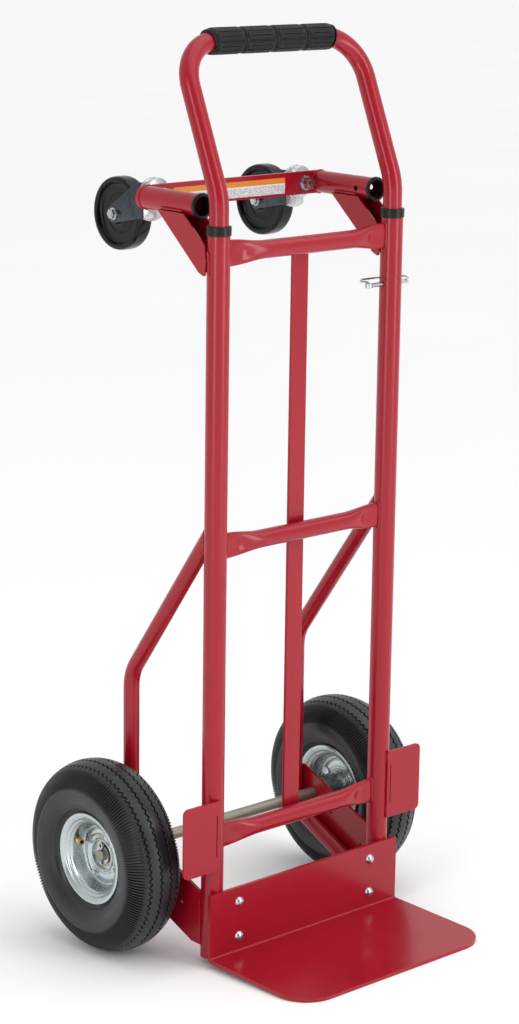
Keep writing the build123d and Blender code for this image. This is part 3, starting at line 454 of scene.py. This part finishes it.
def smooth_step(value, low, high):
    t = min(1.0, max(0.0, (value - low) / (high - low)))
    return t * t * (3 - 2 * t)


def make_tyre(hand, side):
    """Moulded tyre: zigzag grooves round the tread, ribbed shoulders and two rings on each sidewall."""
    rows = tyre_rows()
    bm = bmesh.new()
    count = len(rows)
    columns = []
    for j in range(STATIONS):
        angle = 2 * math.pi * j / STATIONS
        phase = j % 8
        wave = (abs(phase - 4) - 2) / 2 * WAVE
        cos_a, sin_a = math.cos(angle), math.sin(angle)
        column = []
        for i, (d, r, depth, role) in enumerate(rows):
            if role == "tread":
                d = d + wave * (1 - smooth_step(abs(d), 25.5, 30.0))
                r = tread_radius(d) - depth
                if abs(d) > 26 and phase % 4 in (2, 3):
                    r -= RIB_DEPTH * smooth_step(abs(d), *SHOULDER)
            elif role == "side":
                before, after = rows[i - 1], rows[(i + 1) % count]
                normal = Vector((-(after[1] - before[1]), after[0] - before[0])).normalized()
                if normal.dot(Vector((d, r - 90))) < 0:
                    normal = -normal
                ribbed = smooth_step(r, *RIB_START)
                lift = -RIB_DEPTH * ribbed if phase % 4 in (2, 3) else 0.0
                for ring_r, width, height in RINGS:
                    lift += height * math.exp(-(((r - ring_r) / width) ** 2))
                d, r = d + normal.x * lift, r + normal.y * lift
            column.append(bm.verts.new((side * WHEEL_X + d, AXLE_Y + r * cos_a, AXLE_Z + r * sin_a)))
        columns.append(column)
    for j in range(STATIONS):
        here, there = columns[j], columns[(j + 1) % STATIONS]
        for i in range(count):
            k = (i + 1) % count
            bm.faces.new((here[i], here[k], there[k], there[i]))
    piece(f"tyre_moulded_{hand}", bm, f"wheel_{hand}", "tyre", replaces=(f"tyre_{hand}",), sharp=32.0)


# ---------------------------------------------------------------- rims, hubs and valves
# Outlines of a half rim as (distance outboard, radius), with how far each corner is rounded.
RIM_OUTER = [(0.0, 20.3), (6.2, 20.3), (6.2, 22.0), (2.6, 23.6), (4.6, 28.0), (5.0, 31.5), (4.2, 36.0), (1.9, 39.5),
             (2.6, 42.4), (19.0, 46.8), (21.4, 49.6), (22.4, 50.0), (24.6, 53.6), (26.0, 54.4), (27.6, 57.0),
             (29.3, 60.6), (28.6, 63.2), (26.2, 63.6)]
RIM_INNER = [(26.0, 62.2), (27.2, 61.2), (25.8, 57.6), (24.0, 55.6), (22.6, 54.8), (20.0, 51.6), (16.6, 48.2),
             (1.2, 43.4), (0.0, 40.0)]
RIM_SOFTENING = [0.1, 0.8, 0.8, 1.6, 2.4, 2.4, 2.4, 2.0, 3.2, 2.0, 0.6, 0.6, 0.8, 0.8, 2.2, 2.2, 1.2, 0.6]
RIM_SOFTENING += [0.6] * len(RIM_INNER)


def make_rim_half(name, hand, side, outward):
    """Pressed half rim: domed floor round the hub, deep dish, bead seat and curled flange."""
    profile = soften(RIM_OUTER + RIM_INNER, RIM_SOFTENING, 5)
    bm = bmesh.new()
    lathe(bm, profile, (side * WHEEL_X, AXLE_Y, AXLE_Z), (side * outward, 0, 0), 192)
    piece(f"{name}_pressed_{hand}", bm, f"wheel_{hand}", "rim_zinc", replaces=(f"{name}_{hand}",), sharp=35.0)


VALVE_ANGLE = math.radians(8.0)
VALVE_ROOT_R = 57.0
VALVE_AIM = (0.357, -0.911, 0.205)       # outboard, rearward and upward
VALVE_FOOT = [(0, 0), (0, 5.2), (3, 4.9), (15, 4.2), (17.5, 3.4), (17.5, 0)]
VALVE_FOOT_SOFTENING = [0, 0.8, 0.8, 1, 0.8, 0]
VALVE_COLLAR = [(16.5, 0.0), (16.5, 4.0), (18.0, 4.0)]
VALVE_TIP = [(30.4, 3.5), (30.8, 4.2), (35.4, 4.2), (36.0, 3.7), (36.0, 2.7), (33.0, 2.5), (33.0, 0.0)]
# Black core at the bottom of the shallow bore: painted shade of the open valve end.
VALVE_CORE_PAINTED_SHADE = [(32.8, 0.0), (32.8, 2.6), (33.3, 2.6), (33.3, 1.0), (35.0, 0.8), (35.2, 0.0)]
THREADS, THREAD_START, THREAD_PITCH = 11, 18.0, 1.1


def make_valve(hand, side):
    """Valve stem on the inner tube: rubber foot, threaded brass neck and a black core closing its shallow open end,
    as painted shade of a deep bore.
    """
    spoke = Vector((0, math.cos(VALVE_ANGLE), math.sin(VALVE_ANGLE)))
    root = Vector((side * (WHEEL_X + 8), AXLE_Y, AXLE_Z)) + spoke * VALVE_ROOT_R
    aim = Vector((side * VALVE_AIM[0], VALVE_AIM[1], VALVE_AIM[2])).normalized()
    bm = bmesh.new()
    lathe(bm, soften(VALVE_FOOT, VALVE_FOOT_SOFTENING, 3), root, aim, 40)
    piece(f"valve_foot_{hand}", bm, f"wheel_{hand}", "inner_tube", TUBE_RUBBER)
    profile = list(VALVE_COLLAR)
    for k in range(THREADS):
        start = THREAD_START + k * THREAD_PITCH
        profile += [(start, 3.5), (start + 0.3, 3.9), (start + 0.65, 3.9), (start + 0.95, 3.5)]
    profile += VALVE_TIP
    bm = bmesh.new()
    lathe(bm, profile, root, aim, 40, closed=False)
    piece(f"valve_neck_{hand}", bm, f"wheel_{hand}", "brass", BRASS, replaces=(f"valve_stem_{hand}",))
    # The core is black plastic, a painted shade deep in the open valve end.
    bm = bmesh.new()
    lathe(bm, VALVE_CORE_PAINTED_SHADE, root, aim, 24, closed=False)
    piece(f"valve_core_painted_shade_{hand}", bm, f"wheel_{hand}", "black_plastic", PLASTIC)


# ---------------------------------------------------------------- casters
# Outlines as (distance along the axis, radius), with how far each corner is rounded.
CASTER_TREAD = [(0, 49.0), (8.0, 48.8), (11.2, 47.6), (12.3, 45.2), (12.3, 42.2), (10.4, 41.0), (7.0, 40.0),
                (5.0, 38.0), (4.8, 27.0), (5.7, 26.3), (5.7, 25.0), (4.8, 24.3), (5.2, 17.0), (7.4, 13.0),
                (12.5, 11.4), (12.9, 10.6), (12.9, 6.1)]
TREAD_SOFTENING = [0, 2.4, 1.8, 1.8, 0.8, 1.0, 1.4, 1.4, 0.5, 0.5, 0.5, 0.5, 2.0, 1.6, 0.8, 0.4, 0]
RACE = [(0.05, 0.0), (0.05, 15.0), (3.2, 15.0), (4.0, 19.5), (5.4, 22.2), (8.0, 22.5), (10.4, 22.0), (12.0, 20.2),
        (12.4, 17.0), (12.4, 0.0)]
RACE_SOFTENING = [0, 0.6, 1.0, 1.4, 1.6, 1.6, 1.6, 1.4, 1.0, 0]
CROWN = [(0.05, 0.0), (0.05, 16.0), (0.5, 20.0), (2.0, 22.2), (3.6, 22.5), (5.4, 21.6), (6.4, 18.5), (6.9, 15.0),
         (6.9, 0.0)]
CROWN_SOFTENING = [0, 1.0, 1.4, 1.4, 1.4, 1.4, 1.4, 1.0, 0]
CROWN_START = 13.3           # from the caster bar's rear face
YOKE_T = 2.5
LEG_GAP = 13.2               # half the clear width between the legs
LEG_EYE_R = 12.5
PLATE_TOP, PLATE_SIDE, PLATE_TOE = 16.0, -31.5, -35.5


def make_caster(hand, side):
    """Solid wheel, the two stacked cups of the swivel bearing, and the yoke with its base plate and legs."""
    x = side * KINGPIN_X
    profile = soften(CASTER_TREAD, TREAD_SOFTENING, 4, closed=False)
    profile = profile + [(-a, r) for a, r in reversed(profile[1:])]
    bm = bmesh.new()
    lathe(bm, profile, (x, CASTER_Y, CASTER_Z), (1, 0, 0), 128)
    piece(f"caster_rolled_{hand}", bm, f"caster_{hand}", "caster_tread", replaces=(f"caster_wheel_{hand}",))

    back_y = BAR_Y[1]
    bm = bmesh.new()
    lathe(bm, soften(RACE, RACE_SOFTENING, 4, closed=False), (x, back_y, SOCKET_Z), (0, 1, 0), 96, closed=False)
    piece(f"caster_cup_{hand}", bm, "frame", "zinc", replaces=(f"caster_race_{hand}",))

    front = back_y + CROWN_START
    bm = bmesh.new()
    lathe(bm, soften(CROWN, CROWN_SOFTENING, 4, closed=False), (x, front, SOCKET_Z), (0, 1, 0), 96, closed=False)
    face, half = front + 2.0, LEG_GAP + YOKE_T
    plate = [(-half, PLATE_TOP), (-half, PLATE_SIDE)]
    plate += [(-half + 2 * half * k / 16, PLATE_TOE + (PLATE_SIDE - PLATE_TOE) * (2 * k / 16 - 1) ** 2)
              for k in range(1, 16)]
    plate += [(half, PLATE_SIDE), (half, PLATE_TOP)]
    slab(bm, soften(plate, 1.2, 2), (x, face + YOKE_T / 2, SOCKET_Z), (1, 0, 0), (0, 0, 1), YOKE_T, 0.7)
    leg = [(face + 0.2, SOCKET_Z + PLATE_TOP), (face + 0.2, SOCKET_Z + PLATE_SIDE), (face + 12, SOCKET_Z - 33.0)]
    leg += [(CASTER_Y + LEG_EYE_R * math.cos(math.radians(t)), CASTER_Z + LEG_EYE_R * math.sin(math.radians(t)))
            for t in range(-96, 68, 9)]
    leg += [(face + 14, SOCKET_Z + 15.5)]
    piece(f"caster_yoke_{hand}", bm, f"swivel_{hand}", "zinc", replaces=(f"caster_fork_{hand}",))
    # The legs are the same zinc as the base plate, drawn in its darker copy as a painted dark reflection.
    bm = bmesh.new()
    for reach in (-1, 1):
        slab(bm, leg, (x + reach * (LEG_GAP + YOKE_T / 2), 0, 0), (0, 1, 0), (0, 0, 1), YOKE_T, 0.5)
    piece(f"caster_legs_{hand}", bm, f"swivel_{hand}", "zinc", ZINC_PAINTED_DARK_REFLECTION)


# ---------------------------------------------------------------- grip
HANDLE_TOP = (79.5, 1219.0)
HANDLE_KINK_Z = 1032.0
CORNER_R = 58.0
STRAIGHT_HALF = UPRIGHT_X - CORNER_R
GRIP_HALF = 106.0
SEAMS = (-53.0, 0.0, 53.0)
GRIP_AROUND = 192
GRIP_BORE_R = 12.75
CHANNEL_R = 14.4             # radius at the bottom of a seam
SEGMENT_RISE = 1.9
PAD_RISE = 1.2
PAD_ANGLE = 45.0
FLUTES = (10.0, 16.0, 22.5)  # degrees from a pad's edge
FLUTE_DEPTH = 0.8


def grip_point(s):
    """A point of the grip's axis and its direction, s millimetres from the middle along it."""
    tilt = math.atan2(HANDLE_TOP[0], HANDLE_TOP[1] - HANDLE_KINK_Z)
    down = Vector((0, -math.sin(tilt), -math.cos(tilt)))
    middle = Vector((0, *HANDLE_TOP))
    if abs(s) <= STRAIGHT_HALF:
        return middle + Vector((s, 0, 0)), Vector((1, 0, 0)), down
    sign = 1 if s > 0 else -1
    angle = (abs(s) - STRAIGHT_HALF) / CORNER_R
    point = (middle + Vector((sign * (STRAIGHT_HALF + CORNER_R * math.sin(angle)), 0, 0))
             + down * CORNER_R * (1 - math.cos(angle)))
    along = Vector((math.cos(angle), 0, 0)) + down * math.sin(angle) * sign
    return point, along, down


def grip_ring(bm, s, radius):
    """A ring of points round the grip's axis; radius is a function of the angle round it."""
    point, along, down = grip_point(s)
    side = along.cross(down).normalized()
    up = side.cross(along).normalized()
    angles = [2 * math.pi * k / GRIP_AROUND for k in range(GRIP_AROUND)]
    return [bm.verts.new(point + (up * math.cos(t) + side * math.sin(t)) * radius(t)) for t in angles]


def make_grip():
    """Moulded sleeve: four segments, each with eight raised and fluted pads between deep channels."""
    end = STRAIGHT_HALF + CORNER_R * math.asin((GRIP_HALF - STRAIGHT_HALF) / CORNER_R)
    bounds = [-end + 2.5, *SEAMS, end - 2.5]

    def surface(s, angle):
        radius = 16.6
        for low, high in zip(bounds, bounds[1:]):
            if low <= s <= high:
                edge = min(s - low, high - s)
                radius = CHANNEL_R + SEGMENT_RISE * smooth_step(edge, 0.5, 2.2)
                pad = (math.degrees(angle) + PAD_ANGLE / 2) % PAD_ANGLE
                inside = min(pad, PAD_ANGLE - pad)
                radius += PAD_RISE * smooth_step(inside, 2.2, 4.0) * smooth_step(edge, 3.0, 4.8)
                for line in FLUTES:
                    radius -= FLUTE_DEPTH * math.exp(-((inside - line) ** 2)) * smooth_step(edge, 7.0, 9.0)
        return radius - 1.5 * smooth_step(abs(s), end - 1.4, end) ** 2

    places, s = [], -end
    while s < end:
        places.append(s)
        s += 0.5 if min(abs(s - b) for b in bounds) < 6 else 1.5
    places.append(end)
    bm = bmesh.new()
    rings = [grip_ring(bm, s, lambda t, s=s: surface(s, t)) for s in places]
    rings += [grip_ring(bm, s, lambda t: GRIP_BORE_R) for s in reversed(places[::6] + [end])]
    join_rings(bm, rings)
    piece("grip_moulded", bm, "handle", "grip", replaces=("grip",), sharp=50.0)


# ---------------------------------------------------------------- crossbars
CROSSBAR_R, CROSSBAR_WALL = 12.0, 1.6
FLAT_HALF = (4.0, 17.0)      # half the thickness and height of a pressed end
CROSSBAR_AROUND = 64
PINCH_DEPTH = 2.0
PINCH_PLACE, PINCH_WIDTH = 26.0, 11.0    # from the end of the bar


def make_crossbar(name, z):
    """Round tube whose ends are pinched flat where they meet the uprights."""
    bm = bmesh.new()
    end = UPRIGHT_X - UPRIGHT_R + 1.5

    def section(from_end):
        press = 1 - smooth_step(from_end, 13.0, 66.0)
        tall = 1 - smooth_step(from_end, 6.0, 62.0)
        deep = CROSSBAR_R - (CROSSBAR_R - FLAT_HALF[0]) * press
        return deep, CROSSBAR_R + (FLAT_HALF[1] - CROSSBAR_R) * tall, press

    stations = [end - from_end for from_end in [0, 3, 6] + list(range(8, 74, 2))] + [60, 40, 20, 0]
    stations = stations + [-x for x in reversed(stations[:-1])]
    rings = []
    for wall in (0.0, CROSSBAR_WALL):
        layer = []
        for x in stations if not wall else reversed(stations):
            deep, tall, press = section(end - abs(x))
            power = 2.0 + 1.6 * press
            ring = []
            for k in range(CROSSBAR_AROUND):
                t = 2 * math.pi * k / CROSSBAR_AROUND
                c, sn = math.cos(t), math.sin(t)
                y = (deep - wall) * math.copysign(abs(c) ** (2 / power), c)
                v = (tall - wall) * math.copysign(abs(sn) ** (2 / power), sn)
                pinch = PINCH_DEPTH * math.exp(-(((end - abs(x) - PINCH_PLACE) / PINCH_WIDTH) ** 2))
                y -= pinch * math.exp(-((v / 9.0) ** 2)) * c
                cope = UPRIGHT_X - math.sqrt(max(UPRIGHT_R**2 - y**2, 0.0))
                ring.append(bm.verts.new((max(-cope, min(cope, x)) if abs(x) > end - 7 else x, y, z + v)))
            layer.append(ring)
        rings += layer
    join_rings(bm, rings)
    piece(f"pinched_{name}", bm, "frame", "red_paint", replaces=(name,), sharp=50.0)


# ---------------------------------------------------------------- label
def make_label():
    width, height = LABEL_SIZE
    bm = bmesh.new()
    corners = soften([(-width / 2, -height / 2), (width / 2, -height / 2), (width / 2, height / 2),
                      (-width / 2, height / 2)], 1.4, 3)
    film = bm.loops.layers.uv.new("film")
    front, back = ([bm.verts.new((LABEL_X + u, y, LABEL_Z + v)) for u, v in corners]
                   for y in (BAR_Y[0] - 0.4, BAR_Y[0] + 0.02))
    faces = [bm.faces.new(front), bm.faces.new(back[::-1])]
    for i in range(len(corners)):
        faces.append(bm.faces.new((front[i - 1], back[i - 1], back[i], front[i])))
    for face in faces:
        for loop in face.loops:
            co = loop.vert.co
            loop[film].uv = ((co.x - LABEL_X) / width + 0.5, (co.z - LABEL_Z) / height + 0.5)
    piece("label_film", bm, "frame", "label", replaces=("label_plate",))


# ---------------------------------------------------------------- weld beads
def bead(bm, points, size, closed=False):
    """A run of weld with the overlapping scallops of a hand-laid bead."""
    dense = []
    pts = [Vector(p) for p in points]
    if closed:
        pts.append(pts[0])
    for a, b in zip(pts, pts[1:]):
        steps = max(1, int((b - a).length / 0.7))
        dense += [a.lerp(b, k / steps) for k in range(steps)]
    if not closed:
        dense.append(pts[-1])
    length = sum((b - a).length for a, b in zip(dense, dense[1:]))

    def radius(along):
        scallop = abs(math.sin(math.pi * along / 2.6 + 0.4 * math.sin(along * 0.31)))
        r = size * (0.78 + 0.22 * scallop + 0.08 * math.sin(along * 0.9 + size))
        if not closed:
            r *= 0.45 + 0.55 * smooth_step(min(along, length - along), 0.0, 3.0)
        return r

    tube(bm, dense, radius, 10, closed)


# Where each brace meets the rear of its upright: height, half height of the loop, and bead size.
BRACE_JOINTS = ((587.0, 13.4, 2.1), (37.2, 12.2, 2.0))


def make_welds():
    """Every visible weld of the frame, as one piece of trim."""
    bm = bmesh.new()
    for side in SIDES.values():
        x = side * UPRIGHT_X
        for z in CROSSBAR_Z.values():
            outline = soften([(-4, -17), (4, -17), (4, 17), (-4, 17)], 3.6, 5)
            loop = [(side * (UPRIGHT_X - math.sqrt(UPRIGHT_R**2 - y**2) - 0.3), y * 1.12, z + v * 1.02)
                    for y, v in outline]
            bead(bm, loop, 1.9, closed=True)
        for height, half, size in BRACE_JOINTS:
            loop = []
            for k in range(40):
                t = 2 * math.pi * k / 40
                dx = 11.4 * math.cos(t)
                loop.append((x + dx, math.sqrt(UPRIGHT_R**2 - dx**2) + 0.9, height + half * math.sin(t)))
            bead(bm, loop, size, closed=True)
        ring = [(x + 15.2 * math.cos(t), BAR_Y[0] - 0.4, SOCKET_Z + 15.2 * math.sin(t))
                for t in (2 * math.pi * k / 48 for k in range(48))]
        bead(bm, ring, 1.5, closed=True)
        for z in CROSSBAR_Z.values():
            edge = side * 14.2
            bead(bm, [(edge, 12.4, z - 6.5), (edge, 13.0, z), (edge, 12.4, z + 6.5)], 1.5)
        for low, high in ((144, 158), (222, 236)):
            bead(bm, [(side * 154.4, -15.6, low), (side * 154.4, -15.6, high)], 1.7)
        for hand in (-1, 1):
            edge = x + hand * 15.4
            bead(bm, [(edge, 1.5, 934), (edge, 1.0, 948), (edge, 3.0, 966)], 1.8)
            bead(bm, [(x + hand * 14.6, 54, 1010.2), (x + hand * 14.6, 98, 1010.2)], 1.7)
        bead(bm, [(side * 163.6, 20, 30), (side * 163.6, 70, 55)], 1.7)
        bead(bm, [(side * 166.0, 8.0, 40), (side * 166.0, 8.0, 98)], 1.7)
    piece("weld_beads", bm, "frame", "red_paint", sharp=60.0)


for hand, side in SIDES.items():
    make_tyre(hand, side)
    make_rim_half("rim_outer", hand, side, 1)
    make_rim_half("rim_inner", hand, side, -1)
    make_valve(hand, side)
    make_caster(hand, side)
for place, z in CROSSBAR_Z.items():
    make_crossbar(f"crossbar_{place}", z)
make_grip()
make_label()
make_welds()

# ---------------------------------------------------------------- floor, light and camera
floor_mat, floor_nodes, floor_links, floor_shader, floor_coord = new_material("floor")
floor_tone = noise(floor_nodes, floor_links, floor_coord, 0.8)
floor_stops = [(0.3, (0.955, 0.955, 0.955)), (0.7, (0.97, 0.97, 0.97))]
floor_links.new(ramp(floor_nodes, floor_links, floor_tone, floor_stops), floor_shader.inputs["Base Color"])
floor_shader.inputs["Roughness"].default_value = 0.9
floor_shader.inputs["Specular IOR Level"].default_value = 0.1
floor_mesh = bpy.data.meshes.new("floor")
FLOOR_HALF = 300.0
corners = [(u * FLOOR_HALF, v * FLOOR_HALF, 0) for u, v in ((-1, -1), (1, -1), (1, 1), (-1, 1))]
floor_mesh.from_pydata(corners, [], [(0, 1, 2, 3)])
floor_mesh.materials.append(floor_mat)
floor = bpy.data.objects.new("floor", floor_mesh)
bpy.context.scene.collection.objects.link(floor)

DARK_SIDE = (-0.80, -0.58, 0.12)         # the room is dimmer in this direction, for contrast in the metal
ROOM_BRIGHT, ROOM_DIM = 0.98, 0.30
world = bpy.data.worlds.new("studio")
bpy.context.scene.world = world
world.use_nodes = True
wn, wl = world.node_tree.nodes, world.node_tree.links
background = wn["Background"]
background.inputs["Color"].default_value = (1.0, 1.0, 1.0, 1.0)
room = wn.new("ShaderNodeBackground")
direction = wn.new("ShaderNodeTexCoord")
shade = wn.new("ShaderNodeVectorMath")
shade.operation = "DOT_PRODUCT"
shade.inputs[1].default_value = DARK_SIDE
wl.new(direction.outputs["Generated"], shade.inputs[0])
dim = wn.new("ShaderNodeMapRange")
dim.interpolation_type = "SMOOTHSTEP"
dim.inputs["From Min"].default_value = 0.35
dim.inputs["From Max"].default_value = 0.95
dim.inputs["To Min"].default_value = ROOM_BRIGHT
dim.inputs["To Max"].default_value = ROOM_DIM
wl.new(shade.outputs["Value"], dim.inputs["Value"])
wl.new(dim.outputs["Result"], room.inputs["Strength"])
rays = wn.new("ShaderNodeLightPath")
mix = wn.new("ShaderNodeMixShader")
wl.new(rays.outputs["Is Camera Ray"], mix.inputs["Fac"])
wl.new(room.outputs["Background"], mix.inputs[1])
wl.new(background.outputs["Background"], mix.inputs[2])
wl.new(mix.outputs["Shader"], wn["World Output"].inputs["Surface"])


def area_light(name, place, target, size, power):
    data = bpy.data.lights.new(name, "AREA")
    data.shape = "RECTANGLE"
    data.size, data.size_y = size
    data.energy = power
    light = bpy.data.objects.new(name, data)
    light.location = place
    light.rotation_mode = "QUATERNION"
    light.rotation_quaternion = (Vector(target) - Vector(place)).to_track_quat("-Z", "Y")
    light.visible_camera = False
    bpy.context.scene.collection.objects.link(light)


area_light("strip_left", (-3.3, -1.1, 1.4), (0, 0, 0.7), (0.95, 3.0), 34.0)
area_light("strip_right", (1.0, -3.4, 1.5), (0, 0, 0.7), (1.05, 3.0), 46.0)
sun_data = bpy.data.lights.new("soft_sun", "SUN")
sun_data.energy = 0.95
sun_data.angle = math.radians(70.0)
sun = bpy.data.objects.new("soft_sun", sun_data)
sun.rotation_euler = (math.radians(18.0), math.radians(14.0), 0.0)
bpy.context.scene.collection.objects.link(sun)

AZIMUTH, ELEVATION, ROLL = (math.radians(v) for v in (-41.502, 11.746, -0.751))
DISTANCE = 3.505789
TARGET = Vector((-0.026654, 0.0, 0.619699))
FOCAL_PX = 2626.166
IMAGE = (519, 1024)
SENSOR = 36.0
back = Vector((math.sin(AZIMUTH) * math.cos(ELEVATION), -math.cos(AZIMUTH) * math.cos(ELEVATION),
               math.sin(ELEVATION)))
right = Vector((math.cos(AZIMUTH), math.sin(AZIMUTH), 0))
up = back.cross(right)
right, up = right * math.cos(ROLL) + up * math.sin(ROLL), up * math.cos(ROLL) - right * math.sin(ROLL)
camera_data = bpy.data.cameras.new("camera")
camera_data.sensor_width = SENSOR
camera_data.lens = FOCAL_PX * SENSOR / max(IMAGE)
camera_data.shift_y = -20.0 / max(IMAGE)
camera_data.clip_end = 900.0
camera = bpy.data.objects.new("camera", camera_data)
turned = Matrix((right, up, back)).transposed().to_4x4()
camera.matrix_world = Matrix.Translation(TARGET + back * DISTANCE) @ turned
bpy.context.scene.collection.objects.link(camera)
bpy.context.scene.camera = camera
bpy.context.scene.view_settings.view_transform = "Standard"
